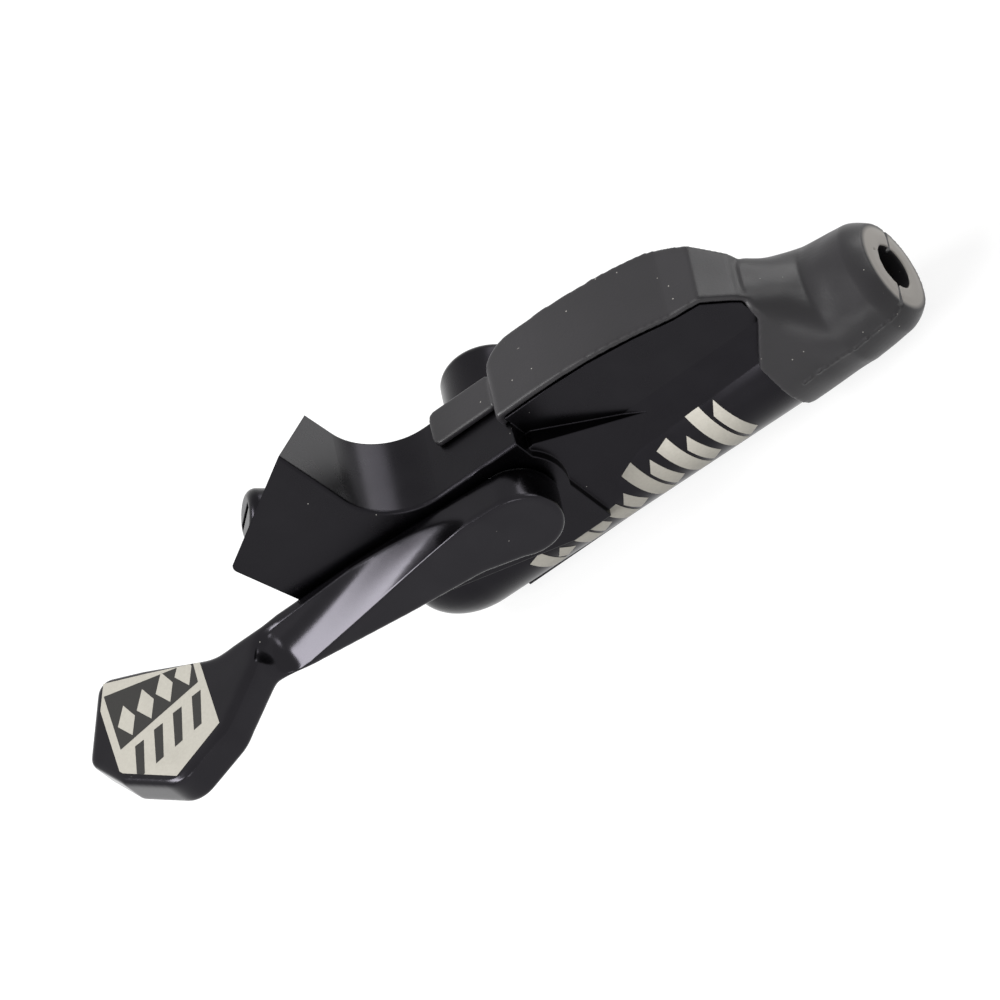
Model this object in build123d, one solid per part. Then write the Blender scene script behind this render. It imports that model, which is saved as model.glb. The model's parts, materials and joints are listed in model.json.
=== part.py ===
from build123d import *
from math import cos, hypot, radians, sin
import os

# Hydraulic dropper post remote lever, in millimetres.
# Origin: centre of the clamp pedestal's end face, on the lever's pivot line.
# +Y leaves the pedestal towards the handlebar clamp, +X runs to the hose, +Z is the thumb's side.

# Housing
body_depth = 10.1
pedestal_length = 7.7
pedestal_radius = 5.2
pedestal_rim = 1.0
boss_radius = 5.9
bore_radius = 4.0
barrel_wall = 2.0
barrel_radius = bore_radius + barrel_wall
barrel_draft = 0.35
barrel_drop = 10.0
barrel_inset = 7.0
barrel_left = -12.0
dome_length = 7.9
barrel_right = 31.3
bore_start = 9.0
rim_round = 0.35

# Horn, seen from the front
horn_tip = (-13.0, 23.4)
horn_heel = (-27.1, 14.2)
horn_foot = (-24.9, 3.8)
horn_root = (-15.0, -5.5)
horn_heel_round = 1.2
horn_foot_round = 1.5
horn_back_drop = 6.6
saddle_floor = 6.0
saddle_wall = -12.2
saddle_round = 7.0

# Reservoir hump
hump_left = 5.0
hump_front = 3.0
hump_back = 12.3
hump_height = 7.0
hump_shoulder = ((10.5, 7.05), (16.0, 6.75), (21.4, 5.95))
hump_slope_end = (barrel_right - 5.2, 4.9)
hump_corner = (barrel_right - 1.9, 4.6)
hump_chin = (barrel_right + 0.5, 2.4)
hump_right = barrel_right + 1.3
hump_bend = -1.8
hump_cut = (8.0, 4.1)
hump_rounds = (4.0, 7.0, 1.6)
hump_splay = 0.6
fairing_start = 5.6
fairing_end = 15.8
fairing_top = 3.6
fairing_tail = -3.2
fairing_step = 1.0
pocket_length = barrel_right - 16.7
pocket_width = 3.0
pocket_left = 9.6
pocket_floor = -1.6
plate_top = 4.2
plate_thickness = 0.8
plate_margin = 2.0
flange_thickness = 0.4
bladder_wall = 0.6
port_radius = 0.45
screw_radius = 0.55
screw_head_radius = 0.95
screw_head_height = 0.6
screw_depth = 2.4

# Lever blade
blade_gap = 0.3
blade_thickness = 4.4
knuckle_radius = 4.6
arm_top = 5.8
arm_rise_end = -18.0
arm_edge = 0.4
arm_under = ((-16.0, -1.2), (-7.0, -2.3), (-2.6, -3.8))
arm_heel_round = 6.0
neck_x = -31.5
neck_floor = 1.1
paddle_tip = -54.3
paddle_thickness = 4.3
paddle_edge = 0.6
paddle_front = ((-36.9, -5.9), (-44.0, -9.0), (-50.8, -3.7), (paddle_tip, 1.6))
paddle_back = ((-51.2, 7.2), (-45.5, 4.6), (-36.8, 0.0))
paddle_rounds = {1: 3.0, 2: 3.5, 3: 3.4, 5: 1.6, 6: 1.6, 7: 8.0, 8: 6.0}
flute_radius = 6.0
flute_line = ((-31.5, -24.8, 7.9), (-16.0, -23.4, 10.05), (-9.0, -22.2, 10.8), (-1.0, -21.9, 10.95))
flute_end = 2.2

# Shaft and crank
shaft_radius = 3.0
shaft_socket = 3.0
crank_seat_radius = 2.5
rear_journal_radius = 2.0
crank_reach = 10.2
crank_nose_radius = 2.2
crank_hub_radius = 4.3
crank_thickness = 3.6
crank_arm_half = 1.5
crank_pin_radius = 0.8
lever_travel = 32.0
chamber_start = 4.3
chamber_end = 9.2
chamber_left = -6.5
chamber_right = 7.2
chamber_hub_gap = 0.5
bush_wall = 1.0
rear_bush_wall = 1.1
rear_bush_length = 2.8
rear_bush_recess = 0.3
seal_section = 0.48
clip_thickness = 0.5
clip_radius = 3.8
clip_groove_depth = 0.4

# Clamp thread
thread_core_radius = 2.1
thread_depth = 4.3

# Fits
running_gap = 0.03
snug_gap = 0.01
contact_gap = 0.05
seal_gap = 0.02

# Piston and its rod
piston_length = 11.0
piston_shoulder_gap = 0.05
rod_radius = 1.5
rod_head_radius = 1.9
rod_head_thickness = 1.2
rod_socket = 4.0
groove_depth = 1.1
groove_width = 1.6
groove_setback = 1.4
spring_wire_radius = 0.3
spring_coil_radius = 2.9
spring_turns = 4.5

# Hose end
fitting_start = barrel_right - 3.3
fitting_flange_radius = 4.7
fitting_flange = 2.2
fitting_thread_radius = 3.3
fitting_thread_length = 4.5
fitting_bore_radius = 1.2
hose_radius = 2.5
hose_seat_depth = 2.0
nut_radius = 4.6
nut_length = 7.0
olive_length = 1.8
olive_wall = 0.5

# Adjuster
dial_position = 0.81
dial_inset = 4.6
dial_radius = 3.0
dial_height = 3.3
dial_dome = 1.1
dial_seat_depth = 4.6
dial_slot_width = 0.8
dial_slot_depth = 0.7
stem_radius = 1.4
stem_overlap = 4.1
gland_radius = 2.4
gland_depth = 2.2
stop_pin_radius = 1.8
stop_pin_room = 2.2
stop_pin_hollow = 3.0
stop_contact_reach = 7.2
stop_socket = 6.0

# Bleed port
bleed_x = barrel_right - 6.3
bleed_recess = barrel_wall / 2
bleed_radius = 1.6
bleed_head_radius = 2.4
bleed_head_height = 1.6
bleed_hex_radius = 1.0

# Bottom cover
cover_left = -9.4
cover_right = 9.6
cover_half_width = 3.4
cover_flat_drop = 4.2
cover_gap = 0.1
cover_screw_inset = 1.3
cover_screw_reach = 2.4
cover_screw_room = 0.2
cover_screw_head = 0.7

# Rubber boot
skin = 0.9
boot_edge = barrel_right - 2.5
boot_cheek = ((boot_edge, -5.7), (boot_edge + 1.3, -4.0), (boot_edge + 3.9, -0.8))
boot_tip = barrel_right + 13.5
boot_barrel_radius = 7.05
boot_mouth_radius = 6.3
boot_mouth_round = 2.5
boot_inner_radius = 5.1
boot_hole_radius = 2.6
boot_end_wall = 2.0
boot_neck_x = barrel_right + 6.2
end_round = 2.0
end_top = 1.2
lip_depth = 2.4
boot_gap = 0.1
tab_left = -4.2
tab_width = 4.6
tab_thickness = 0.8
tab_inset = 5.9

# Places that follow from the sizes above
y_front = -(body_depth + pedestal_length)
y_back = -pedestal_length
y_barrel = y_front + barrel_inset
z_barrel = -barrel_drop
y_chamber = y_front + chamber_start
y_chamber_end = y_front + chamber_end
y_blade_back = y_front - blade_gap
y_blade_front = y_blade_back - blade_thickness
y_hump_front = y_front + hump_front
y_hump_back = y_front + hump_back
crank_y = (y_chamber + y_chamber_end) / 2 + clip_thickness / 2
rest_angle = lever_travel / 2
crank_tip_x = -crank_reach * sin(radians(rest_angle))
rod_face_x = crank_tip_x + crank_nose_radius + contact_gap
piston_x = bore_start + piston_shoulder_gap


def slab(face, y_low, y_high):
    """A face drawn in X and Z, filled between two depths."""
    back = Plane(origin=(0, y_high, 0), x_dir=(1, 0, 0), z_dir=(0, -1, 0))
    return extrude(back * face, amount=y_high - y_low)


def floor_plan(face, z_low, z_high):
    """A face drawn in X and Y, filled between two heights."""
    return extrude(Plane.XY.offset(z_low) * face, amount=z_high - z_low)


def cross_section(face, x_low, x_high):
    """A face drawn in Y and Z, filled between two stations along X."""
    return extrude(Plane.YZ.offset(x_low) * face, amount=x_high - x_low)


def outline(points):
    return make_face(Polyline(*points, close=True))


def rod_x(radius, x_low, x_high, y=y_barrel, z=z_barrel):
    return Pos((x_low + x_high) / 2, y, z) * Rot(0, 90, 0) * Cylinder(radius, x_high - x_low)


def rod_y(radius, y_low, y_high, x=0, z=0):
    return Pos(x, (y_low + y_high) / 2, z) * Rot(90, 0, 0) * Cylinder(radius, y_high - y_low)


def rod_z(radius, z_low, z_high, x=0, y=0):
    return Pos(x, y, (z_low + z_high) / 2) * Cylinder(radius, z_high - z_low)


def ring_x(outer, inner, x_low, x_high):
    return rod_x(outer, x_low, x_high) - rod_x(inner, x_low, x_high)


def ring_y(outer, inner, y_low, y_high):
    return rod_y(outer, y_low, y_high) - rod_y(inner, y_low, y_high)


def hump_top(grow=0.0):
    """The hump's upper outline from its left end to its chin, raised by grow."""
    return [
        (hump_left, hump_height + grow),
        *[(x, z + grow) for x, z in hump_shoulder],
        (hump_slope_end[0], hump_slope_end[1] + grow),
        (hump_corner[0] + grow / 2, hump_corner[1] + grow),
        (hump_chin[0] + grow, hump_chin[1] + grow / 2),
    ]


def end_section(grow):
    """The housing's right end in Y and Z: barrel circle under a flat shoulder with round corners."""
    low = Pos(y_barrel, z_barrel) * Circle(barrel_radius + grow)
    front = Pos(y_hump_front + end_round, end_top - end_round) * Circle(end_round + grow)
    back = Pos(y_barrel, end_top - end_round) * Circle(end_round + grow)
    return make_hull(low.edges() + front.edges() + back.edges())


# The adjuster's line runs from the horn's end to the crank's flank
stop_off = crank_arm_half + stop_pin_radius + 2 * contact_gap
rest_sin = sin(radians(rest_angle))
rest_cos = cos(radians(rest_angle))
stop_x = -stop_contact_reach * rest_sin - stop_off * rest_cos
stop_z = -stop_contact_reach * rest_cos + stop_off * rest_sin
dial_x = horn_tip[0] + dial_position * (horn_heel[0] - horn_tip[0])
dial_z = horn_tip[1] + dial_position * (horn_heel[1] - horn_tip[1])
dial_y = y_front + dial_inset
adjuster_length = hypot(dial_x - stop_x, dial_z - stop_z)
adjuster_out = ((dial_x - stop_x) / adjuster_length, 0, (dial_z - stop_z) / adjuster_length)
adjuster_plane = Plane(origin=(dial_x, dial_y, dial_z), x_dir=(0, 1, 0), z_dir=adjuster_out)
dial_seat = -dial_seat_depth
stop_pin_end = -adjuster_length
stop_pin_top = dial_seat - gland_depth - stop_pin_room


def on_adjuster(radius, low, high):
    """A cylinder on the adjuster's line, heights measured from the horn's front edge."""
    return adjuster_plane.location * Pos(0, 0, (low + high) / 2) * Cylinder(radius, high - low)


def horn_block():
    face = outline([
        horn_tip, horn_heel, horn_foot, horn_root, (0, z_barrel), (hump_left, z_barrel),
        (hump_left, saddle_floor), (saddle_wall, saddle_floor),
    ])
    corners = face.vertices()
    saddle = corners.sort_by_distance((saddle_wall, saddle_floor, 0))[0]
    face = fillet(saddle, saddle_round)
    heel = face.vertices().sort_by_distance((*horn_heel, 0))[0]
    face = fillet(heel, horn_heel_round)
    foot = face.vertices().sort_by_distance((*horn_foot, 0))[0]
    face = fillet(foot, horn_foot_round)
    block = slab(face, y_front, y_back)
    front_edges = block.faces().sort_by(Axis.Y)[0].edges()
    saddle_edges = front_edges.filter_by(lambda edge: edge.center().X > horn_tip[0] and edge.center().Z > 5)
    block = fillet(saddle_edges, rim_round)
    along = Vector(horn_heel[0] - horn_tip[0], 0, horn_heel[1] - horn_tip[1])
    back = Vector(0, body_depth, -horn_back_drop)
    end_plane = Plane(
        origin=(horn_tip[0], y_front, horn_tip[1]), x_dir=along, z_dir=back.cross(along)
    )
    return split(block, bisect_by=end_plane, keep=Keep.BOTTOM)


def barrel():
    """A slightly tapered barrel with a domed left end."""
    small, large = barrel_radius - barrel_draft, barrel_radius + barrel_draft
    curve = EllipticalCenterArc((0, 0), dome_length, small, start_angle=90, arc_size=90)
    length = barrel_right - barrel_left
    profile = make_face(curve + Polyline(
        (-dome_length, 0), (length, 0), (length, large), (0, small)
    ))
    return Pos(barrel_left, y_barrel, z_barrel) * revolve(profile, axis=Axis.X)


def hump_plan(grow, front=0.0):
    """The hump from above: round back corners and a slanted cut at the right, its front moved back."""
    left, right = hump_left - grow, hump_right + grow
    low, high = y_hump_front + front, y_hump_back + grow
    cut_x, cut_y = hump_cut
    points = [
        (left, low), (right, low), (right, high - cut_y), (right - cut_x, high),
        (left, high - hump_splay),
    ]
    face = outline(points)
    for index, radius in zip((4, 3, 2), hump_rounds):
        corner = face.vertices().sort_by_distance((*points[index], 0))[0]
        face = fillet(corner, radius)
    return face


def hump():
    flange_top = z_barrel + fitting_flange_radius + rim_round
    profile = outline([(hump_left, z_barrel)] + hump_top() + [
        (hump_right, hump_chin[1] - skin), (hump_right, hump_bend),
        (barrel_right, flange_top), (barrel_right, z_barrel),
    ])
    side = barrel_radius - barrel_draft
    section = outline([
        (y_hump_front, hump_height + skin), (y_hump_front, hump_bend),
        (y_barrel - side, z_barrel), (y_barrel + side, z_barrel),
        (y_hump_back, hump_bend), (y_hump_back, hump_height + skin),
    ])
    block = slab(profile, y_barrel - barrel_radius, y_barrel + barrel_radius)
    block &= cross_section(section, hump_left, hump_right)
    upper = floor_plan(hump_plan(0), hump_bend, hump_height + skin)
    lower = floor_plan(
        Pos(barrel_right / 2, y_barrel) * Rectangle(2 * hump_right, 4 * barrel_radius),
        z_barrel, hump_bend,
    )
    return block & (upper + lower)


def boot_seat():
    """What is cut off the housing where the boot's collar grips it."""
    reach = 4 * barrel_radius
    zone = Pos(boot_edge - boot_gap + reach / 2, y_barrel, z_barrel) * Box(reach, reach, 2 * reach)
    zone -= cross_section(end_section(0), boot_edge - 1, boot_edge + reach)
    return zone - cheek_opening(boot_gap)


def cheek_opening(grow):
    """The room above the boot's collar, where the hump's metal face shows."""
    line = [(x - grow, z - grow) for x, z in boot_cheek]
    return slab(outline([
        (boot_edge - 1, line[0][1]), *line,
        (line[-1][0], hump_height + 1), (boot_edge - 1, hump_height + 1),
    ]), y_hump_front - 3, y_hump_back + 3)


def fairing():
    """The wedge that carries the boss's front plane back into the hump's face."""
    shape = outline([
        (0, fairing_top), (fairing_start, fairing_top), (fairing_end, fairing_tail),
        (fairing_end, z_barrel), (0, z_barrel),
    ])
    block = slab(shape, y_front, y_hump_front + 1)
    slope = (hump_bend - fairing_tail) / (hump_bend - z_barrel)
    back = hump_front - slope * (hump_front + barrel_radius - barrel_inset)
    run, fall = fairing_end - fairing_start, back - fairing_step
    front = Plane(
        origin=(fairing_start, y_front + fairing_step, 0), x_dir=(run, fall, 0), z_dir=(fall, -run, 0)
    )
    return split(block, bisect_by=front, keep=Keep.BOTTOM)


def pedestal():
    post = rod_y(pedestal_radius, y_back - 1, 0)
    rim = post.edges().sort_by(Axis.Y)[-1]
    return fillet(rim, pedestal_rim)


def crank_chamber():
    hub = rod_y(crank_hub_radius + chamber_hub_gap, y_chamber, y_chamber_end)
    bottom = z_barrel - cover_flat_drop - 2
    slot = Pos((chamber_left + chamber_right) / 2, (y_chamber + y_chamber_end) / 2, bottom / 2) * Box(
        chamber_right - chamber_left, y_chamber_end - y_chamber, -bottom
    )
    return hub + slot


def cover_recess(gap):
    length = cover_right - cover_left + 2 * gap
    width = 2 * (cover_half_width + gap)
    top = z_barrel - cover_flat_drop
    return Pos((cover_left + cover_right) / 2, y_barrel, top - barrel_radius / 2 + gap / 2) * Box(
        length, width, barrel_radius + gap
    )


def cover_screw_places():
    return [cover_left + cover_screw_inset, cover_right - cover_screw_inset]


def plate_outline(grow):
    length = pocket_length + 2 * grow
    width = pocket_width + 2 * grow
    centre = (pocket_left + pocket_length / 2, (y_hump_front + y_hump_back) / 2)
    return Pos(*centre) * RectangleRounded(length, width, width / 2 - 0.05)


def reservoir_screw_places():
    middle = (y_hump_front + y_hump_back) / 2
    reach = plate_margin * 0.45
    return [
        (pocket_left - reach, middle),
        (pocket_left + pocket_length + reach, middle),
    ]


def lever_body():
    body = horn_block() + barrel() + hump() + fairing() + pedestal()
    body += rod_y(boss_radius, y_front, y_back)
    body -= boot_seat()
    body -= crank_chamber()
    body -= cover_recess(0)
    body -= rod_x(bore_radius, bore_start, barrel_right + 3)
    body -= rod_x(rod_radius + 2 * running_gap, chamber_right - 1, bore_start + 1)
    body -= rod_y(shaft_radius + bush_wall, y_front - 1, y_chamber + 1)
    rear = rear_journal_radius + rear_bush_wall
    body -= rod_y(rear, y_chamber_end - 1, y_chamber_end + rear_bush_recess + rear_bush_length)
    body -= rod_y(thread_core_radius, -thread_depth, 1)
    body -= floor_plan(plate_outline(0), pocket_floor, hump_height)
    seat = plate_top - plate_thickness - flange_thickness
    body -= floor_plan(plate_outline(plate_margin), seat, hump_height + 1)
    for x, y in reservoir_screw_places():
        body -= rod_z(screw_radius, seat - screw_depth, seat + 1, x, y)
    for x in (piston_x + groove_setback * 3, piston_x + piston_length + 1):
        body -= rod_z(port_radius, z_barrel, pocket_floor + 1, x, y_barrel)
    screw_end = z_barrel - cover_screw_reach + cover_screw_room
    for x in cover_screw_places():
        body -= rod_z(screw_radius, z_barrel - cover_flat_drop - 1, screw_end, x, y_barrel)
    body -= on_adjuster(dial_radius + 0.2, dial_seat, dial_radius)
    body -= on_adjuster(gland_radius, dial_seat - gland_depth, dial_seat + 1)
    body -= on_adjuster(stop_pin_radius + running_gap, stop_pin_end - stop_pin_hollow, dial_seat)
    bleed_face = y_barrel + barrel_radius
    bleed_seat = bleed_face - bleed_recess
    body -= rod_y(bleed_head_radius + 0.1, bleed_seat, bleed_face + 2, bleed_x, z_barrel)
    body -= rod_y(bleed_radius, y_barrel, bleed_face, bleed_x, z_barrel)
    return body


def arm_profile():
    """The arm from the front: round knuckle and a taper to the paddle's level."""
    arm = outline([
        (0, knuckle_radius), (arm_rise_end, arm_top), (neck_x - 3, arm_top),
        (neck_x - 3, arm_top - paddle_thickness), (neck_x, neck_floor), *arm_under,
        (0, -knuckle_radius),
    ])
    heel = arm.vertices().sort_by_distance((*arm_under[1], 0))[0]
    return fillet(heel, arm_heel_round) + Circle(knuckle_radius)


def blade_plan():
    """The blade from above: straight arm and five sided paddle that leans to the front."""
    front, back = y_blade_front, y_blade_back
    points = [(0, front), (neck_x, front)]
    points += [(x, front + y) for x, y in paddle_front]
    points += [(x, back + y) for x, y in paddle_back] + [(0, back)]
    face = outline(points)
    for index, radius in paddle_rounds.items():
        corner = face.vertices().sort_by_distance((*points[index], 0))[0]
        face = fillet(corner, radius)
    return face


def paddle():
    """The flat end of the blade with round upper and lower edges."""
    plate = floor_plan(blade_plan(), arm_top - paddle_thickness, arm_top)
    levels = plate.edges().group_by(Axis.Z)
    plate = fillet(levels[0] + levels[-1], paddle_edge)
    return split(plate, bisect_by=Plane.YZ.offset(neck_x - 0.5), keep=Keep.BOTTOM)


def flute():
    """A round groove that opens along the arm's upper front edge and ends in a short wall."""
    groove = loft([
        Plane.YZ.offset(x) * Pos(y, z) * Circle(flute_radius) for x, y, z in flute_line
    ])
    return fillet(groove.edges().group_by(Axis.X)[0], flute_end)


def lever_blade():
    arm = slab(arm_profile(), y_blade_front, y_blade_back)
    depths = arm.edges().group_by(Axis.Y)
    blade = fillet(depths[0] + depths[-1], arm_edge) + paddle()
    blade -= flute()
    blade -= rod_y(shaft_radius, y_blade_back - shaft_socket, y_blade_back + 1)
    return blade


def pivot_shaft():
    start = y_blade_back - shaft_socket
    clip_y = y_chamber + (crank_y - crank_thickness / 2 - y_chamber - clip_thickness) / 2
    end = y_chamber_end + rear_bush_recess + rear_bush_length - 0.1
    shaft = rod_y(shaft_radius, start, y_chamber)
    shaft += rod_y(crank_seat_radius, y_chamber, y_chamber_end)
    shaft += rod_y(rear_journal_radius, y_chamber_end, end)
    shaft -= ring_y(
        crank_seat_radius + 1, crank_seat_radius - clip_groove_depth, clip_y, clip_y + clip_thickness
    )
    return shaft - crank_pin_hole()


def crank_pin_hole():
    place = Pos(0, crank_y, 0) * Rot(0, rest_angle, 0) * Rot(0, 90, 0)
    return place * Cylinder(crank_pin_radius, 4 * crank_hub_radius)


def front_bushing():
    start = y_front + 3 * seal_section
    return ring_y(shaft_radius + bush_wall - snug_gap, shaft_radius + running_gap, start, y_chamber)


def rear_bushing():
    start = y_chamber_end + rear_bush_recess
    outer = rear_journal_radius + rear_bush_wall - snug_gap
    return ring_y(outer, rear_journal_radius + running_gap, start, start + rear_bush_length)


def shaft_seal():
    middle = shaft_radius + bush_wall / 2
    return Pos(0, y_front + 1.5 * seal_section, 0) * Rot(90, 0, 0) * Torus(middle, seal_section)


def shaft_clip():
    start = y_chamber + (crank_y - crank_thickness / 2 - y_chamber - clip_thickness) / 2
    gap = clip_thickness * 0.02
    inner = crank_seat_radius - clip_groove_depth + seal_gap
    ring = ring_y(clip_radius, inner, start + gap, start + clip_thickness - gap)
    mouth = Pos(0, start, -clip_radius) * Box(2.2, 4 * clip_thickness, 2 * clip_radius)
    return ring - mouth


def crank_arm():
    hub = Circle(crank_hub_radius)
    tip = Pos(0, -crank_reach) * Circle(crank_nose_radius)
    arm = Pos(0, -crank_reach / 2) * Rectangle(2 * crank_arm_half, crank_reach)
    flat = slab(hub + tip + arm, -crank_thickness / 2, crank_thickness / 2)
    crank = Pos(0, crank_y, 0) * Rot(0, rest_angle, 0) * flat
    crank -= rod_y(crank_seat_radius + snug_gap, y_chamber, y_chamber_end)
    return crank - crank_pin_hole()


def crank_pin():
    place = Pos(0, crank_y, 0) * Rot(0, rest_angle, 0) * Rot(0, 90, 0)
    pin = Cylinder(crank_pin_radius - snug_gap, 2 * crank_hub_radius - 0.8)
    bore = Cylinder(crank_pin_radius / 2, 2 * crank_hub_radius)
    return place * (pin - bore)


def pushrod():
    head = rod_x(rod_head_radius, rod_face_x, rod_face_x + rod_head_thickness)
    head = fillet(head.edges().sort_by(Axis.X)[0], 0.4)
    return head + rod_x(rod_radius, rod_face_x + rod_head_thickness, piston_x + rod_socket)


def piston_groove_starts():
    return [piston_x + groove_setback, piston_x + piston_length - groove_setback - groove_width]


def piston():
    body = rod_x(bore_radius - running_gap, piston_x, piston_x + piston_length)
    for start in piston_groove_starts():
        body -= ring_x(bore_radius + 1, bore_radius - groove_depth, start, start + groove_width)
    body -= rod_x(rod_radius + snug_gap, piston_x - 1, piston_x + rod_socket + snug_gap)
    nose = piston_x + piston_length
    return body + rod_x(spring_coil_radius - 2.5 * spring_wire_radius, nose, nose + 1.2)


def groove_seal(start):
    """A lipped seal that fills its groove and flares to the bore."""
    inner = bore_radius - groove_depth + seal_gap
    outer = bore_radius - seal_gap
    length = groove_width - 2 * seal_gap
    profile = make_face(Polyline(
        (0, inner), (length, inner), (length, outer), (length * 0.75, outer),
        (length * 0.3, inner + 0.45), (0, inner + 0.45), close=True,
    ))
    return Pos(start + seal_gap, y_barrel, z_barrel) * revolve(profile, axis=Axis.X)


def secondary_seal():
    return groove_seal(piston_groove_starts()[0])


def primary_cup_seal():
    return groove_seal(piston_groove_starts()[1])


def return_spring():
    start = piston_x + piston_length + spring_wire_radius + 0.02
    end = fitting_start - spring_wire_radius - 0.02
    pitch = (end - start) / spring_turns
    path = Helix(pitch, end - start, spring_coil_radius)
    wire = Plane(origin=path @ 0, z_dir=path % 0) * Circle(spring_wire_radius)
    coil = sweep(wire, path=path, is_frenet=True)
    return Pos(start, y_barrel, z_barrel) * Rot(0, 90, 0) * coil


def port_fitting():
    nose = rod_x(bore_radius - snug_gap, fitting_start, barrel_right)
    groove = ring_x(bore_radius + 1, bore_radius - groove_depth, fitting_start + 0.8, fitting_start + 2.2)
    hexagon = Plane.YZ.offset(barrel_right) * Pos(y_barrel, z_barrel) * RegularPolygon(
        fitting_flange_radius, 6
    )
    flange = extrude(hexagon, amount=fitting_flange)
    stub_start = barrel_right + fitting_flange
    stub = rod_x(fitting_thread_radius, stub_start, stub_start + fitting_thread_length)
    body = nose - groove + flange + stub
    body -= rod_x(fitting_bore_radius, fitting_start - 1, stub_start + fitting_thread_length)
    end = stub_start + fitting_thread_length
    return body - rod_x(hose_radius + snug_gap, end - hose_seat_depth, end + 1)


def port_oring():
    section = 1.4 / 2 - seal_gap
    middle = bore_radius - groove_depth / 2
    ring = Torus(middle, groove_depth / 2 - seal_gap)
    return Pos(fitting_start + 0.8 + section + seal_gap, y_barrel, z_barrel) * Rot(0, 90, 0) * ring


def nut_start():
    return barrel_right + fitting_flange + 0.6


def compression_nut():
    start = nut_start()
    hexagon = Plane.YZ.offset(start) * Pos(y_barrel, z_barrel) * RegularPolygon(nut_radius, 6)
    nut = extrude(hexagon, amount=nut_length)
    thread_end = barrel_right + fitting_flange + fitting_thread_length
    nut -= rod_x(fitting_thread_radius + snug_gap, start - 1, thread_end + olive_length + 0.1)
    return nut - rod_x(hose_radius + 0.1, start, start + nut_length + 1)


def olive_ring():
    start = barrel_right + fitting_flange + fitting_thread_length + 0.05
    return ring_x(hose_radius + 0.05 + olive_wall, hose_radius + 0.05, start, start + olive_length)


def bladder():
    seat = plate_top - plate_thickness - flange_thickness
    flange = floor_plan(plate_outline(plate_margin - 0.1), seat, seat + flange_thickness)
    cup = floor_plan(plate_outline(-0.1), pocket_floor + 1.0, seat)
    hollow = floor_plan(plate_outline(-0.1 - bladder_wall), pocket_floor + 1.0 + bladder_wall, plate_top)
    body = flange + cup - hollow
    for x, y in reservoir_screw_places():
        body -= rod_z(screw_radius + 0.05, seat - 1, plate_top, x, y)
    return body


def reservoir_plate():
    plate = floor_plan(plate_outline(plate_margin - 0.1), plate_top - plate_thickness, plate_top)
    plate = fillet(plate.edges().group_by(Axis.Z)[-1], 0.2)
    for x, y in reservoir_screw_places():
        plate -= rod_z(screw_radius + 0.05, plate_top - 2, plate_top + 1, x, y)
    vent = pocket_left + pocket_length / 2
    return plate - rod_z(0.4, plate_top - 2, plate_top + 1, vent, (y_hump_front + y_hump_back) / 2)


def reservoir_screws():
    seat = plate_top - plate_thickness - flange_thickness
    screws = []
    for x, y in reservoir_screw_places():
        head = rod_z(screw_head_radius, plate_top, plate_top + screw_head_height, x, y)
        head = fillet(head.edges().sort_by(Axis.Z)[-1], 0.2)
        shank = rod_z(screw_radius - snug_gap, seat - screw_depth + 0.3, plate_top, x, y)
        slot = Pos(x, y, plate_top + screw_head_height) * Box(2 * screw_head_radius, 0.3, 0.5)
        screws.append(head + shank - slot)
    return Compound(children=screws)


def adjuster_dial():
    top = dial_seat + dial_height
    knob = on_adjuster(dial_radius, dial_seat, top)
    knob = fillet(knob.edges().sort_by(Axis(dial_axis_origin(), adjuster_out))[-1], dial_dome)
    stem = on_adjuster(stem_radius, stop_pin_top - stem_overlap, dial_seat)
    slot = adjuster_plane.location * Pos(0, 0, top) * Box(
        dial_slot_width, 1.2 * dial_radius, 2 * dial_slot_depth
    )
    return knob + stem - slot


def dial_axis_origin():
    return (dial_x, dial_y, dial_z)


def adjuster_oring():
    section = (gland_radius - stem_radius) / 2
    place = adjuster_plane.location * Pos(0, 0, dial_seat - section - 0.1)
    return place * Torus(stem_radius + section, section - seal_gap)


def adjuster_clip():
    low = dial_seat - gland_depth + 0.1
    ring = on_adjuster(gland_radius - snug_gap, low, low + clip_thickness)
    return ring - on_adjuster(stem_radius + running_gap, low - 1, low + 1)


def stop_pin():
    top = stop_pin_top
    pin = on_adjuster(stop_pin_radius, stop_pin_end, top)
    pin += adjuster_plane.location * Pos(0, 0, stop_pin_end) * Sphere(stop_pin_radius)
    return pin - on_adjuster(stem_radius + running_gap, top - stop_socket, top + 1)


def bleed_screw():
    face = y_barrel + barrel_radius - bleed_recess
    head = rod_y(bleed_head_radius, face, face + bleed_head_height, bleed_x, z_barrel)
    head = fillet(head.edges().sort_by(Axis.Y)[-1], 0.3)
    shank = rod_y(bleed_radius - snug_gap, y_barrel + bore_radius + 0.1, face, bleed_x, z_barrel)
    shank -= bleed_groove()
    socket = Plane(
        origin=(bleed_x, face + bleed_head_height + 1, z_barrel), x_dir=(1, 0, 0), z_dir=(0, -1, 0)
    ) * RegularPolygon(bleed_hex_radius, 6)
    return head + shank - extrude(socket, amount=2.2)


def bleed_groove():
    face = y_barrel + barrel_radius - bleed_recess
    outer = rod_y(bleed_radius + 1, face - 0.6, face, bleed_x, z_barrel)
    return outer - rod_y(bleed_radius - 0.5, face - 0.6, face, bleed_x, z_barrel)


def bleed_oring():
    face = y_barrel + barrel_radius - bleed_recess
    ring = Torus(bleed_radius - 0.25, 0.25 - seal_gap)
    return Pos(bleed_x, face - 0.3, z_barrel) * Rot(90, 0, 0) * ring


def bottom_cover():
    cover = cover_recess(-cover_gap) & rod_x(barrel_radius, cover_left, cover_right)
    for x in cover_screw_places():
        cover -= rod_z(screw_radius + 0.05, z_barrel - barrel_radius - 1, z_barrel, x, y_barrel)
        low = z_barrel - barrel_radius - 1
        cover -= rod_z(screw_head_radius + 0.1, low, low + 1.8, x, y_barrel)
    return cover


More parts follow.
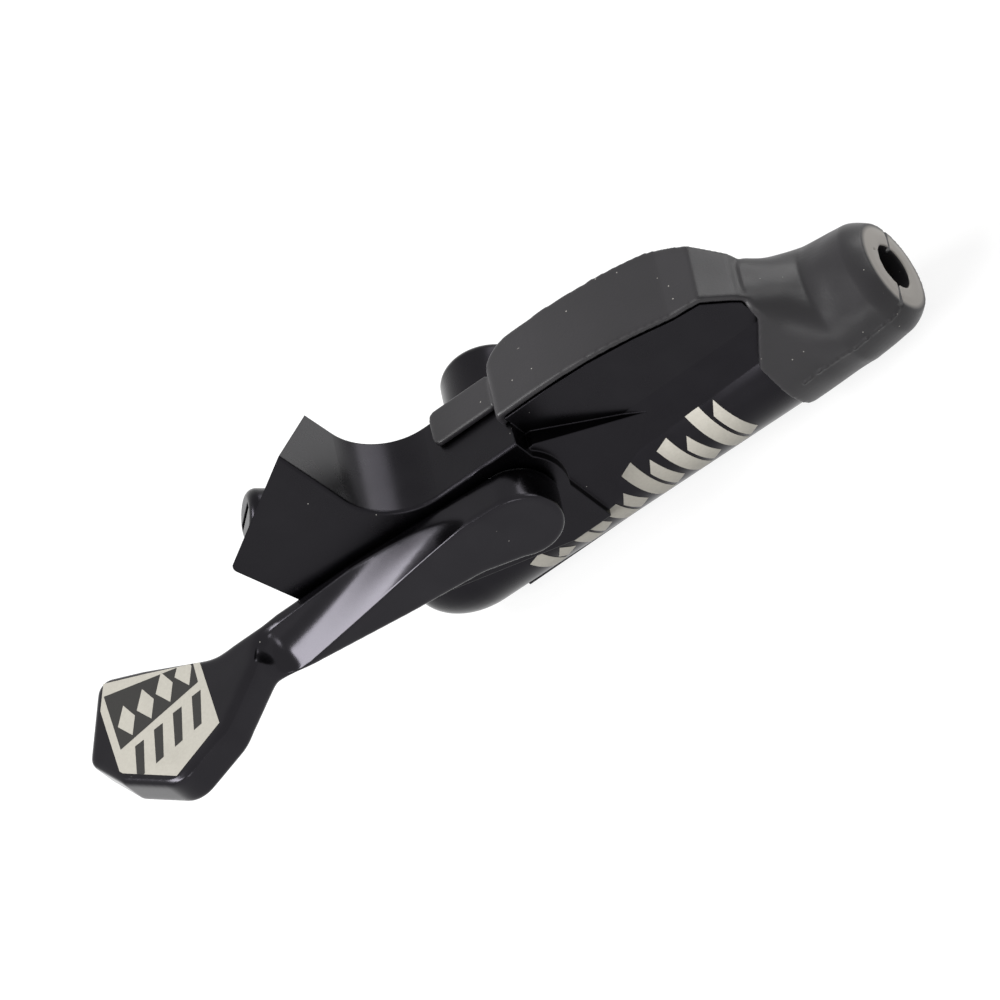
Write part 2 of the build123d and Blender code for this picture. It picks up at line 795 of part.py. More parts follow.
def cover_screws():
    screws = []
    head_low = z_barrel - barrel_radius + 0.1
    head_high = head_low + cover_screw_head
    for x in cover_screw_places():
        head = rod_z(screw_head_radius, head_low, head_high, x, y_barrel)
        slot = Pos(x, y_barrel, head_low) * Box(2 * screw_head_radius, 0.3, 0.6)
        shank = rod_z(screw_radius - snug_gap, head_high, z_barrel - cover_screw_reach, x, y_barrel)
        screws.append(head + shank - slot)
    return Compound(children=screws)


def boot_skin():
    """The rubber layer over the hump, with walls at its left end, its back and its slanted cut."""
    upper = hump_top(skin)
    upper[0] = (hump_left - skin, hump_height + skin)
    edge_x, edge_z = hump_slope_end
    face = outline(upper + [
        (hump_right + skin, hump_chin[1] - skin), (hump_right + skin, hump_bend),
        (boot_edge, hump_bend), (edge_x, edge_z - lip_depth), (hump_left, hump_height - lip_depth),
        (hump_left, saddle_floor + boot_gap), (hump_left - skin, saddle_floor + boot_gap),
    ])
    tip = face.vertices().sort_by_distance((*upper[0], 0))[0]
    face = fillet(tip, skin)
    layer = slab(face, y_hump_front, y_hump_back + skin)
    layer &= floor_plan(hump_plan(skin, boot_gap), hump_bend - 1, hump_height + 2 * skin)
    metal = hump_top(boot_gap)
    metal[0] = (hump_left - boot_gap, hump_height + boot_gap)
    inner = hump_right + boot_gap
    core = slab(outline(metal + [
        (inner, hump_chin[1] - skin), (inner, hump_bend - 1), (hump_left - boot_gap, hump_bend - 1),
    ]), y_hump_front - 1, y_hump_back + 1)
    core &= floor_plan(hump_plan(boot_gap, -1), hump_bend - 2, hump_height + skin)
    return layer - core


def boot_tab():
    low = saddle_floor + boot_gap
    centre = ((tab_left + hump_left - skin) / 2, y_front + tab_inset + tab_width / 2)
    length = hump_left - skin - tab_left
    tab = floor_plan(Pos(*centre) * RectangleRounded(length, tab_width, 0.8), low, low + tab_thickness)
    bridge = Pos(hump_left - skin, centre[1], low + tab_thickness / 2) * Box(
        2 * (skin - boot_gap), tab_width - 1.6, tab_thickness
    )
    return tab + bridge


def boot_nozzle():
    """Collar round the barrel's end, cut back at the cheeks, then neck and hose spout."""
    collar_end = hump_right + skin
    collar = cross_section(end_section(skin), boot_edge, collar_end)
    collar -= cheek_opening(0)
    wide = Plane.YZ.offset(collar_end) * end_section(skin)
    narrow = Plane.YZ.offset(boot_neck_x) * Pos(y_barrel, z_barrel) * Circle(boot_barrel_radius)
    mouth = Plane.YZ.offset(boot_tip) * Pos(y_barrel, z_barrel) * Circle(boot_mouth_radius)
    spout = loft([narrow, mouth])
    rim = spout.edges().sort_by(Axis.X)[-1]
    return collar + loft([wide, narrow]) + fillet(rim, boot_mouth_round)


def boot_hollow():
    inside = cross_section(end_section(boot_gap), boot_edge - 1, hump_right + boot_gap)
    inside += rod_x(boot_inner_radius, hump_right, boot_tip - boot_end_wall)
    return inside + rod_x(boot_hole_radius, hump_right, boot_tip + 1)


def boot_cover():
    return boot_nozzle() - boot_hollow() + boot_skin() + boot_tab()


parts = {
    "lever_body": lever_body,
    "lever_blade": lever_blade,
    "pivot_shaft": pivot_shaft,
    "front_bushing": front_bushing,
    "rear_bushing": rear_bushing,
    "shaft_seal": shaft_seal,
    "shaft_clip": shaft_clip,
    "crank_arm": crank_arm,
    "crank_pin": crank_pin,
    "pushrod": pushrod,
    "piston": piston,
    "secondary_seal": secondary_seal,
    "primary_cup_seal": primary_cup_seal,
    "return_spring": return_spring,
    "port_fitting": port_fitting,
    "port_oring": port_oring,
    "compression_nut": compression_nut,
    "olive_ring": olive_ring,
    "bladder": bladder,
    "reservoir_plate": reservoir_plate,
    "reservoir_screws": reservoir_screws,
    "adjuster_dial": adjuster_dial,
    "adjuster_oring": adjuster_oring,
    "adjuster_clip": adjuster_clip,
    "stop_pin": stop_pin,
    "bleed_screw": bleed_screw,
    "bleed_oring": bleed_oring,
    "bottom_cover": bottom_cover,
    "cover_screws": cover_screws,
    "boot_cover": boot_cover,
}

os.makedirs("parts", exist_ok=True)
for name, make in parts.items():
    export_step(make(), f"parts/{name}.step")
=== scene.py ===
import json
import math

import bpy
import numpy as np
from bpy.props import FloatProperty, FloatVectorProperty, IntProperty, PointerProperty
from mathutils import Matrix, Vector, noise


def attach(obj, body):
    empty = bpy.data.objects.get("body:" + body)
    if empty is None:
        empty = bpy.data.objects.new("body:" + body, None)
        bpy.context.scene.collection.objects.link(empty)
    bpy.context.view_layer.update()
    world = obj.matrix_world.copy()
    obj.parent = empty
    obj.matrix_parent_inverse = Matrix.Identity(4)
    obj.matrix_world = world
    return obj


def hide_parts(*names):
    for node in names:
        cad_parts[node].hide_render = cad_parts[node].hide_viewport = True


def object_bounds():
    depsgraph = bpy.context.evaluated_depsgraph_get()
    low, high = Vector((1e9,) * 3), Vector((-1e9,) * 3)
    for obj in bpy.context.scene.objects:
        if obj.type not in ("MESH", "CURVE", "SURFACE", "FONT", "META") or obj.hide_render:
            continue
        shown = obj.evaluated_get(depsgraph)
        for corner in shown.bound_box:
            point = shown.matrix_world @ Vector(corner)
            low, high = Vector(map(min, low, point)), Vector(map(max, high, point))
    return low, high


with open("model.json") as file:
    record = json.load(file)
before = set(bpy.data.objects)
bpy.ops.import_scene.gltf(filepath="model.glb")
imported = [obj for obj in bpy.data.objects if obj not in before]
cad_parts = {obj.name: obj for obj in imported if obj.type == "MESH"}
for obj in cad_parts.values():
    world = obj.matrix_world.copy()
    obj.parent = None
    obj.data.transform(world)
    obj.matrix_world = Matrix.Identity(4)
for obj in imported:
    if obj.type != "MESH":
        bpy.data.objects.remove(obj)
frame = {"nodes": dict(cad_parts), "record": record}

bl_info = {
    "name": "Seatpost remote dresser",
    "version": (1, 0, 0),
    "blender": (4, 5, 0),
    "location": "3D View > Sidebar > Seatpost remote",
    "description": "Builds the finishes, prints and rubber of a seatpost remote round its frame",
    "category": "Object",
}

MM = 0.001
NODES = frame["nodes"]
CAD_LOW, CAD_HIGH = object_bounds()

# The photograph's view: screen right, screen up and the way back to the lens, in the row frame
SCREEN_RIGHT = Vector((0.7656, -0.1576, -0.6234)).normalized()
SCREEN_UP = Vector((0.5262, 0.7107, 0.4661)).normalized()
TO_LENS = SCREEN_RIGHT.cross(SCREEN_UP).normalized()
PIVOT = Vector((0.0, -17.8, 0.0)) * MM

# The line of the barrel and the hose, in millimetres
AXIS_Y, AXIS_Z = -10.8, -10.0

# The boot in millimetres: the hump's crown as (x, z), and the spout round the barrel's line
CROWN = ((5.0, 7.0), (10.5, 7.05), (16.0, 6.75), (21.4, 5.95), (26.1, 4.9))
CROWN_FOOT = 3.0
SPOUT_START, SPOUT_END = 31.0, 44.8
SPOUT_SKIN_R = 5.6
# Where along X the hose end face painted pale as a highlight begins, and the width of the fade into
# it
END_HIGHLIGHT_X, END_HIGHLIGHT_FADE = 44.64, 0.06
END_INSET = 0.001

# The squarer hose end: the round rim is swept about a centre inside it, from the side to the face,
# and the sweep's part below the split, in degrees, becomes side
RIM_CENTRE_X, RIM_CENTRE_R = 42.3, 3.85
RIM_SIDE_R, RIM_SPLIT, RIM_FULLNESS = 6.55, 58.0, 1.6
RIM_EDGE_X, RIM_EDGE_R = 44.62, 5.35
RIM_SKIN = 2.0

# Two sizes of soft dent with their noise seeds, the share of the finer one, and the fades at the
# spout's ends
DENT_BROAD, DENT_BROAD_SEED = 4.2, 3.0
DENT_FINE, DENT_FINE_SEED, DENT_FINE_SHARE = 2.0, 11.0, 0.2
DENT_FADE_IN, DENT_FADE_OUT = 3.0, 2.5

# The parting line's half width, how far and how often it wanders, and how ragged it is
LINE_WIDTH, LINE_R = 0.16, 5.4
WANDER, WANDER_SIZE, WANDER_SEED = 0.12, 1.7, 5.0
RAGGED_MEAN, RAGGED_SWING, RAGGED_SIZE, RAGGED_SEED = 0.45, 1.3, 0.7, 8.0

# The slit across the hose end and the ejector pin's mark beside it
SLIT_REACH, SLIT_HALF = 0.45, 0.11
PIN_MARK, PIN_MARK_R = (-10.5, -6.7), 0.13
PIN_MARK_REACH, PIN_MARK_DEPTH = 0.3, 0.35


def linear(code):
    """An sRGB hex colour as linear red, green, blue and alpha."""
    channels = [int(code[i:i + 2], 16) / 255 for i in (1, 3, 5)]
    straight = [c / 12.92 if c <= 0.04045 else ((c + 0.055) / 1.055) ** 2.4 for c in channels]
    return (*straight, 1.0)


def per_mm(size):
    """A texture's scale whose pattern repeats about every size millimetres."""
    return 1.0 / (size * MM)


def add_node(tree, kind, feeds=None, **settings):
    """Adds a node with its settings; feeds gives each input a value or a socket to link."""
    made = tree.nodes.new(kind)
    for name, value in settings.items():
        setattr(made, name, value)
    for name, value in (feeds or {}).items():
        if isinstance(value, bpy.types.NodeSocket):
            tree.links.new(value, made.inputs[name])
        else:
            made.inputs[name].default_value = value
    return made


def start_material(name):
    """An empty node material with its output, and the object's own coordinates in metres."""
    material = bpy.data.materials.new(name)
    material.use_nodes = True
    tree = material.node_tree
    tree.nodes.clear()
    output = add_node(tree, "ShaderNodeOutputMaterial")
    place = add_node(tree, "ShaderNodeTexCoord").outputs["Object"]
    return material, tree, output, place


# Dust and lint: the opaque share of a speck's radius, the swirl in millimetres that curls fibres,
# the way the fibres lie, and colours
SPECK_CORE = 0.6
SWIRL_SIZE, SWIRL_REACH = 3.0, 4
FIBRE_TURN = (0.3, 0.2, 0.9)
DUST_COLOUR, LINT_COLOUR = "#b9b6b0", "#8f8c88"
RUBBER_DUST_COLOUR = "#a5a29c"


def dust(tree, place, spacing, radius, share):
    """Specks of that radius in millimetres, in a share of the cells of a loose grid."""
    cells = add_node(tree, "ShaderNodeTexVoronoi", {"Vector": place, "Scale": per_mm(spacing)})
    pick = add_node(tree, "ShaderNodeSeparateColor", {
        "Color": cells.outputs["Color"],
    }).outputs["Red"]
    dot = add_node(tree, "ShaderNodeMapRange", {
        "Value": cells.outputs["Distance"],
        "From Min": radius / spacing, "From Max": SPECK_CORE * radius / spacing,
    }).outputs["Result"]
    lucky = add_node(tree, "ShaderNodeMath", {
        0: pick, 1: 1.0 - share,
    }, operation="GREATER_THAN").outputs[0]
    return add_node(tree, "ShaderNodeMath", {0: dot, 1: lucky}, operation="MULTIPLY").outputs[0]


def lint(tree, place, spacing, width, length, share):
    """Short curled fibres: specks drawn out along X in coordinates that noise has bent."""
    swirl = add_node(tree, "ShaderNodeTexNoise", {
        "Vector": place, "Scale": per_mm(SWIRL_SIZE), "Detail": 1.0,
    })
    bent = add_node(tree, "ShaderNodeVectorMath", {
        0: swirl.outputs["Color"], 1: (SWIRL_REACH * MM,) * 3, 2: place,
    }, operation="MULTIPLY_ADD").outputs[0]
    drawn = add_node(tree, "ShaderNodeMapping", {
        "Vector": bent, "Rotation": FIBRE_TURN, "Scale": (width / length, 1.0, 1.0),
    }).outputs["Vector"]
    return dust(tree, drawn, spacing, width, share)


def anodised(name, colours, roughness, pit, edge):
    """Aluminium that was forged, tumbled and dyed in an oxide bath."""
    material, tree, output, place = start_material(name)
    cloud = add_node(tree, "ShaderNodeTexNoise", {
        "Vector": place, "Scale": per_mm(4.0), "Detail": 3.0,
    }).outputs["Fac"]
    fine = add_node(tree, "ShaderNodeTexNoise", {
        "Vector": place, "Scale": per_mm(0.22), "Detail": 2.0,
    }).outputs["Fac"]
    tone = add_node(tree, "ShaderNodeMix", {
        0: cloud, 6: linear(colours[0]), 7: linear(colours[1]),
    }, data_type="RGBA").outputs[2]
    tone = add_node(tree, "ShaderNodeMix", {
        0: dust(tree, place, 1.9, 0.08, 0.22), 6: tone, 7: linear(DUST_COLOUR),
    }, data_type="RGBA").outputs[2]
    tone = add_node(tree, "ShaderNodeMix", {
        0: lint(tree, place, 2.6, 0.05, 0.5, 0.1), 6: tone, 7: linear(LINT_COLOUR),
    }, data_type="RGBA").outputs[2]
    rough = add_node(tree, "ShaderNodeMapRange", {
        "Value": cloud, "From Min": 0.25, "From Max": 0.75,
        "To Min": roughness * 0.9, "To Max": roughness * 1.15,
    }).outputs["Result"]
    rounded = add_node(tree, "ShaderNodeBevel", {"Radius": edge * MM}, samples=8).outputs["Normal"]
    bumps = add_node(tree, "ShaderNodeBump", {
        "Height": fine, "Distance": pit * MM, "Strength": 0.5, "Normal": rounded,
    }).outputs["Normal"]
    shader = add_node(tree, "ShaderNodeBsdfPrincipled", {
        "Base Color": tone, "Metallic": 1.0, "Roughness": rough, "Normal": bumps,
    })
    tree.links.new(shader.outputs[0], output.inputs["Surface"])
    return material


def satin_anodised():
    # Forged, tumbled and dyed black: a soft grey sheen under a lamp, near black elsewhere
    return anodised("anodised_aluminium_tumbled", ("#201f22", "#252427"), 0.28, 0.004, 0.22)


def bright_anodised():
    # Polished before the dye: cleaner mirror images, so the fluted arm takes a bright streak
    return anodised("anodised_aluminium_polished", ("#272629", "#2d2c2f"), 0.2, 0.003, 0.12)


def moulded_rubber():
    # Compression moulded EPDM: dull, dark grey, with lint, dust and a faint mould texture; its hose
    # end face is painted pale grey, a painted highlight that stands in for the light it catches
    material, tree, output, place = start_material("rubber_compression_moulded")
    cloud = add_node(tree, "ShaderNodeTexNoise", {
        "Vector": place, "Scale": per_mm(6.0), "Detail": 3.0,
    }).outputs["Fac"]
    texture = add_node(tree, "ShaderNodeTexNoise", {
        "Vector": place, "Scale": per_mm(0.35), "Detail": 4.0, "Roughness": 0.7,
    }).outputs["Fac"]
    tone = add_node(tree, "ShaderNodeMix", {
        0: cloud, 6: linear("#1c1b1d"), 7: linear("#222023"),
    }, data_type="RGBA").outputs[2]
    tone = add_node(tree, "ShaderNodeMix", {
        0: dust(tree, place, 1.3, 0.09, 0.35), 6: tone, 7: linear(RUBBER_DUST_COLOUR),
    }, data_type="RGBA").outputs[2]
    tone = add_node(tree, "ShaderNodeMix", {
        0: lint(tree, place, 1.8, 0.06, 0.55, 0.25), 6: tone, 7: linear(LINT_COLOUR),
    }, data_type="RGBA").outputs[2]
    # Painted highlight: past that place the hose end face is mixed to pale grey
    along = add_node(tree, "ShaderNodeSeparateXYZ", {0: place}).outputs["X"]
    painted_end_highlight = add_node(tree, "ShaderNodeMapRange", {
        "Value": along, "From Min": END_HIGHLIGHT_X * MM, "From Max": (END_HIGHLIGHT_X + END_HIGHLIGHT_FADE) * MM,
    }).outputs["Result"]
    tone = add_node(tree, "ShaderNodeMix", {
        0: painted_end_highlight, 6: tone, 7: linear("#a29d97"),
    }, data_type="RGBA").outputs[2]
    rough = add_node(tree, "ShaderNodeMapRange", {
        "Value": cloud, "From Min": 0.25, "From Max": 0.75, "To Min": 0.36, "To Max": 0.46,
    }).outputs["Result"]
    bumps = add_node(tree, "ShaderNodeBump", {
        "Height": texture, "Distance": 0.03 * MM, "Strength": 0.4,
    }).outputs["Normal"]
    shader = add_node(tree, "ShaderNodeBsdfPrincipled", {
        "Base Color": tone, "IOR": 1.5, "Specular IOR Level": 0.35, "Roughness": rough,
        "Normal": bumps,
    })
    tree.links.new(shader.outputs[0], output.inputs["Surface"])
    return material


def plain_moulding(name, colours, ior, blob, rough_low, rough_high):
    """A smooth moulded plastic or rubber with a cloudy skin."""
    material, tree, output, place = start_material(name)
    cloud = add_node(tree, "ShaderNodeTexNoise", {
        "Vector": place, "Scale": per_mm(blob), "Detail": 3.0,
    }).outputs["Fac"]
    tone = add_node(tree, "ShaderNodeMix", {
        0: cloud, 6: linear(colours[0]), 7: linear(colours[1]),
    }, data_type="RGBA").outputs[2]
    rough = add_node(tree, "ShaderNodeMapRange", {
        "Value": cloud, "From Min": 0.3, "From Max": 0.7, "To Min": rough_low, "To Max": rough_high,
    }).outputs["Result"]
    bumps = add_node(tree, "ShaderNodeBump", {
        "Height": cloud, "Distance": 0.01 * MM,
    }).outputs["Normal"]
    shader = add_node(tree, "ShaderNodeBsdfPrincipled", {
        "Base Color": tone, "IOR": ior, "Roughness": rough, "Normal": bumps,
    })
    tree.links.new(shader.outputs[0], output.inputs["Surface"])
    return material


def seal_rubber():
    # Nitrile cord from a polished mould: black with a low shine
    return plain_moulding("nitrile_moulded", ("#141414", "#1e1e1f"), 1.5, 0.8, 0.35, 0.5)


def moulded_acetal():
    # Glass smooth acetal bearing: charcoal with a waxy low shine
    return plain_moulding("acetal_moulded", ("#2f2f30", "#3b3b3b"), 1.48, 1.2, 0.38, 0.5)


def cut_metal(name, colours, roughness, groove, axis):
    """Bare metal with the fine rings or lines that a lathe, wheel or die leaves along axis."""
    material, tree, output, place = start_material(name)
    squeeze = [0.02, 0.02, 0.02]
    squeeze[axis] = 1.0
    lines = add_node(tree, "ShaderNodeMapping", {
        "Vector": place, "Scale": squeeze,
    }).outputs["Vector"]
    marks = add_node(tree, "ShaderNodeTexNoise", {
        "Vector": lines, "Scale": per_mm(groove), "Detail": 2.0,
    }).outputs["Fac"]
    tone = add_node(tree, "ShaderNodeMix", {
        0: marks, 6: linear(colours[0]), 7: linear(colours[1]),
    }, data_type="RGBA").outputs[2]
    rough = add_node(tree, "ShaderNodeMapRange", {
        "Value": marks, "From Min": 0.3, "From Max": 0.7,
        "To Min": roughness * 0.8, "To Max": roughness * 1.25,
    }).outputs["Result"]
    rounded = add_node(tree, "ShaderNodeBevel", {"Radius": 0.08 * MM}, samples=6).outputs["Normal"]
    bumps = add_node(tree, "ShaderNodeBump", {
        "Height": marks, "Distance": 0.006 * MM, "Strength": 0.6, "Normal": rounded,
    }).outputs["Normal"]
    shader = add_node(tree, "ShaderNodeBsdfPrincipled", {
        "Base Color": tone, "Metallic": 1.0, "Roughness": rough, "Normal": bumps,
    })
    tree.links.new(shader.outputs[0], output.inputs["Surface"])
    return material


def ground_steel():
    # Hardened steel off a grinding wheel: bright grey with fine lines
    return cut_metal("steel_ground", ("#a9a9ab", "#c4c4c6"), 0.24, 0.12, 0)


def drawn_wire():
    # Music wire pulled through a die: darker, smooth, long faint streaks
    return cut_metal("steel_wire_drawn", ("#8f9092", "#a9aaac"), 0.3, 0.2, 0)


def black_oxide():
    # Blackened screw steel: deep blue black with worn bright specks
    return cut_metal("steel_black_oxide", ("#26272b", "#3a3b40"), 0.34, 0.15, 1)


def turned_aluminium():
    # Bare bar stock off the lathe: pale and silvery with close rings
    return cut_metal("aluminium_turned", ("#c9cacc", "#dddddf"), 0.28, 0.14, 0)


def turned_brass():
    # Free cutting brass off the lathe: warm yellow with close rings
    return cut_metal("brass_turned", ("#c79f55", "#dcb96e"), 0.26, 0.14, 0)


def pad_print(name, colours, roughness):
    """Ink laid on by a silicone pad, a few hundredths thick, with the dots of a worn film."""
    material, tree, output, place = start_material(name)
    mottle = add_node(tree, "ShaderNodeTexNoise", {
        "Vector": place, "Scale": per_mm(0.3), "Detail": 3.0,
    }).outputs["Fac"]
    wide = add_node(tree, "ShaderNodeTexNoise", {
        "Vector": place, "Scale": per_mm(5.0), "Detail": 3.0,
    }).outputs["Fac"]
    tone = add_node(tree, "ShaderNodeMix", {
        0: mottle, 6: linear(colours[0]), 7: linear(colours[1]),
    }, data_type="RGBA").outputs[2]
    thin = add_node(tree, "ShaderNodeMapRange", {
        "Value": wide, "From Min": 0.55, "From Max": 0.8, "To Max": 0.35,
    }).outputs["Result"]
    tone = add_node(tree, "ShaderNodeMix", {
        0: thin, 6: tone, 7: linear(colours[2]),
    }, data_type="RGBA").outputs[2]
    bumps = add_node(tree, "ShaderNodeBump", {
        "Height": mottle, "Distance": 0.008 * MM, "Strength": 0.5,
    }).outputs["Normal"]
    shader = add_node(tree, "ShaderNodeBsdfPrincipled", {
        "Base Color": tone, "IOR": 1.5, "Specular IOR Level": 0.25, "Roughness": roughness,
        "Normal": bumps,
    })
    tree.links.new(shader.outputs[0], output.inputs["Surface"])
    return material


def pale_print():
    # Warm grey ink laid thick on the barrel
    return pad_print("ink_warm_grey_printed", ("#b3afa5", "#c6c2b8", "#9f9c93"), 0.45)


def thin_print():
    # The same ink on the thumb face, one thin coat over black, so a shade darker
    return pad_print("ink_warm_grey_thin_printed", ("#96938b", "#a5a299", "#87847c"), 0.5)


def dark_print():
    # The same layout left open to a charcoal base coat
    return pad_print("ink_charcoal_printed", ("#1b1a19", "#21201e", "#171615"), 0.55)


FINISHES = {
    "black_anodised": satin_anodised,
    "black_polished": bright_anodised,
    "boot_rubber": moulded_rubber,
    "seal_rubber": seal_rubber,
    "steel": ground_steel,
    "black_steel": black_oxide,
    "spring_steel": drawn_wire,
    "natural_aluminium": turned_aluminium,
    "brass": turned_brass,
    "bearing_plastic": moulded_acetal,
}
made_finishes = {}

# The thumb face and the barrel, in millimetres
PADDLE_TOP = 5.8
PADDLE = [
    (-53.3, -20.9), (-50.3, -25.2), (-43.9, -30.2), (-36.5, -26.7), (-36.5, -18.6), (-45.2, -14.4),
    (-50.5, -12.0),
]
BARREL_LEFT, BARREL_RIGHT = -12.0, 31.3
BARREL_RADII = (5.65, 6.35)
BODY_NODES = ["lever_body", "bottom_cover"]
REPLACED_NODES = ["boot_cover", "lever_blade"]


def slot_of(node):
    """The record's material slot of a CAD node."""
    rows = frame["record"]["subparts"]
    return next(row["material_slot"] for row in rows if row["node"] == node)


def finish_for(slot):
    """The material of a record slot, made the first time it is asked for."""
    if slot not in made_finishes:
        made_finishes[slot] = FINISHES[slot]()
    return made_finishes[slot]


def dress(node):
    """Gives a CAD node the finish of its material slot."""
    shape = NODES[node]
    shape.data.materials.clear()
    shape.data.materials.append(finish_for(slot_of(node)))


def mesh_piece(name, points, faces, material_slots, face_slots=None, body="housing"):
    """A mesh from points in millimetres that rides on a body."""
    mesh = bpy.data.meshes.new(name)
    mesh.from_pydata([Vector(p) * MM for p in points], [], faces)
    for material in material_slots:
        mesh.materials.append(material)
    for index, polygon in enumerate(mesh.polygons):
        polygon.use_smooth = True
        polygon.material_index = face_slots[index] if face_slots else 0
    piece = bpy.data.objects.new(name, mesh)
    bpy.context.scene.collection.objects.link(piece)
    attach(piece, body)
    return piece


def clip_polygon(polygon, keep):
    """The part of a flat polygon inside a convex outline given anticlockwise."""
    result = list(polygon)
    for (ax, ay), (bx, by) in zip(keep, keep[1:] + keep[:1]):
        source, result = result, []
        for (px, py), (qx, qy) in zip(source, source[1:] + source[:1]):
            p_side = (bx - ax) * (py - ay) - (by - ay) * (px - ax)
            q_side = (bx - ax) * (qy - ay) - (by - ay) * (qx - ax)
            if p_side >= 0:
                result.append((px, py))
            if p_side * q_side < 0:
                share = p_side / (p_side - q_side)
                result.append((px + share * (qx - px), py + share * (qy - py)))
    return result


class BladeSettings(bpy.types.PropertyGroup):
    grain: FloatProperty(
        name="Grain", description="Edge length of the blade's small faces, in millimetres",
        default=0.2, min=0.15, max=1.0,
    )
    rounds: IntProperty(
        name="Softening", description="Rounds of smoothing that tumbling gives its edges",
        default=7, min=0, max=40,
    )
    neck_rounds: IntProperty(
        name="Neck softening", description="Rounds of smoothing between the arm and the paddle",
        default=60, min=0, max=200,
    )
    badge_lift: FloatProperty(
        name="Badge lift", description="Height of the ink above the thumb face, in millimetres",
        default=0.02, min=0.005, max=0.1,
    )
    badge_left: FloatProperty(
        name="Badge left", description="Place of the badge's left edge, in millimetres along X",
        default=-51.1,
    )
    badge_right: FloatProperty(
        name="Badge right", description="Place of the badge's right edge, in millimetres along X",
        default=-38.1,
    )
    bar_count: IntProperty(
        name="Bars", description="Slanted bars in each half of the badge", default=4, min=1, max=12,
    )


class BodySettings(bpy.types.PropertyGroup):
    print_start: FloatProperty(
        name="Print start", description="Left end of the barrel's print, in millimetres along X",
        default=-5.4,
    )
    print_length: FloatProperty(
        name="Print length", description="Length of the barrel's print in millimetres",
        default=29.4, min=5,
    )
    print_lift: FloatProperty(
        name="Print lift", description="Height of the ink above the barrel, in millimetres",
        default=0.02, min=0.005, max=0.1,
    )
    shard_count: IntProperty(
        name="Shards", description="Pairs of angular shapes in the print", default=6, min=2, max=20,
    )


class BootSettings(bpy.types.PropertyGroup):
    grain: FloatProperty(
        name="Grain", description="Edge length of the rubber's small faces, in millimetres",
        default=0.2, min=0.15, max=1.0,
    )
    rounds: IntProperty(
        name="Softening", description="Rounds of smoothing that take the moulding's edges off",
        default=6, min=0, max=40,
    )
    dent: FloatProperty(
        name="Dents", description="Depth of the soft dents in the spout, in millimetres",
        default=0.2, min=0, max=1.0,
    )
    flash: FloatProperty(
        name="Flash", description="Height of the ragged parting line, in millimetres", default=0.34,
        min=0, max=0.6,
    )
    slit: FloatProperty(
        name="Slit", description="Depth of the cut across the hose end, in millimetres",
        default=0.6, min=0, max=1.5,
    )


class StageSettings(bpy.types.PropertyGroup):
    lens: FloatProperty(
        name="Lens", description="Focal length on a 36 mm sensor, in millimetres",
        default=800.0, min=50,
    )
    view_width: FloatProperty(
        name="View width", description="Width that the picture shows at the pivot", default=0.10417,
        unit="LENGTH",
    )
    floor_gap: FloatProperty(
        name="Floor gap", description="Room between the lowest point and the floor", default=0.0004,
        unit="LENGTH",
    )
    floor_colour: FloatVectorProperty(
        name="Floor colour", description="Paint of the table", subtype="COLOR", size=4,
        default=linear("#808080"), min=0, max=1,
    )


class REMOTE_OT_body(bpy.types.Operator):
    """Dress the housing and print the barrel"""
    bl_idname = "remote.body"
    bl_label = "Housing"

    def execute(self, context):
        for node in BODY_NODES:
            dress(node)
        barrel_print(context.scene.remote_body)
        return {"FINISHED"}


class REMOTE_OT_blade(bpy.types.Operator):
    """Forge the lever blade's soft edges and flute, and print the badge on its thumb face"""
    bl_idname = "remote.blade"
    bl_label = "Lever blade"

    def execute(self, context):
        forged_blade(context.scene.remote_blade)
        thumb_badge(context.scene.remote_blade)
        return {"FINISHED"}


class REMOTE_OT_boot(bpy.types.Operator):
    """Mould the rubber boot over its solid"""
    bl_idname = "remote.boot"
    bl_label = "Rubber boot"

    def execute(self, context):
        rubber_boot(context.scene.remote_boot)
        return {"FINISHED"}


class REMOTE_OT_works(bpy.types.Operator):
    """Dress the shaft, crank, piston, seals, fittings and screws"""
    bl_idname = "remote.works"
    bl_label = "Inner works"

    def execute(self, context):
        shown = BODY_NODES + REPLACED_NODES
        for node in NODES:
            if node not in shown:
                dress(node)
        return {"FINISHED"}


class REMOTE_OT_stage(bpy.types.Operator):
    """Set the camera, the lamps, the floor and the white room"""
    bl_idname = "remote.stage"
    bl_label = "Stage"

    def execute(self, context):
        settings = context.scene.remote_stage
        place_camera(settings)
        place_lamps()
        paint_world()
        lay_floor(settings)
        context.scene.view_settings.view_transform = "Standard"
        return {"FINISHED"}


class REMOTE_PT_sidebar(bpy.types.Panel):
    bl_idname = "REMOTE_PT_sidebar"
    bl_label = "Seatpost remote"
    bl_space_type = "VIEW_3D"
    bl_region_type = "UI"
    bl_category = "Seatpost remote"

    def draw(self, context):
        column = self.layout.column()
        for step in STEPS:
            column.operator(step.bl_idname)
        for group in SETTINGS:
            values = getattr(context.scene, group)
            for name in values.bl_rna.properties.keys():
                if name not in ("rna_type", "name"):
                    column.prop(values, name)


def crown_lift(x):
    """How far the fair curve through the crown's points stands above the straight runs."""
    xs, zs = np.array(CROWN).T
    slopes = np.gradient(zs, xs)
    run = np.clip(np.searchsorted(xs, x) - 1, 0, len(xs) - 2)
    width = xs[run + 1] - xs[run]
    t = np.clip((x - xs[run]) / width, 0, 1)
    curve = (
        (2 * t ** 3 - 3 * t ** 2 + 1) * zs[run] + (t ** 3 - 2 * t ** 2 + t) * width * slopes[run]
        + (3 * t ** 2 - 2 * t ** 3) * zs[run + 1] + (t ** 3 - t ** 2) * width * slopes[run + 1]
    )
    straight = zs[run] + t * (zs[run + 1] - zs[run])
    inside = (x > xs[0]) & (x < xs[-1])
    return np.where(inside, curve - straight, 0.0)


def ripple(points, size, seed):
    """Smooth noise of that size in millimetres at each point."""
    shift = Vector((seed, 0.0, 0.0))
    return np.array([noise.noise(Vector(p) / size + shift) for p in points])


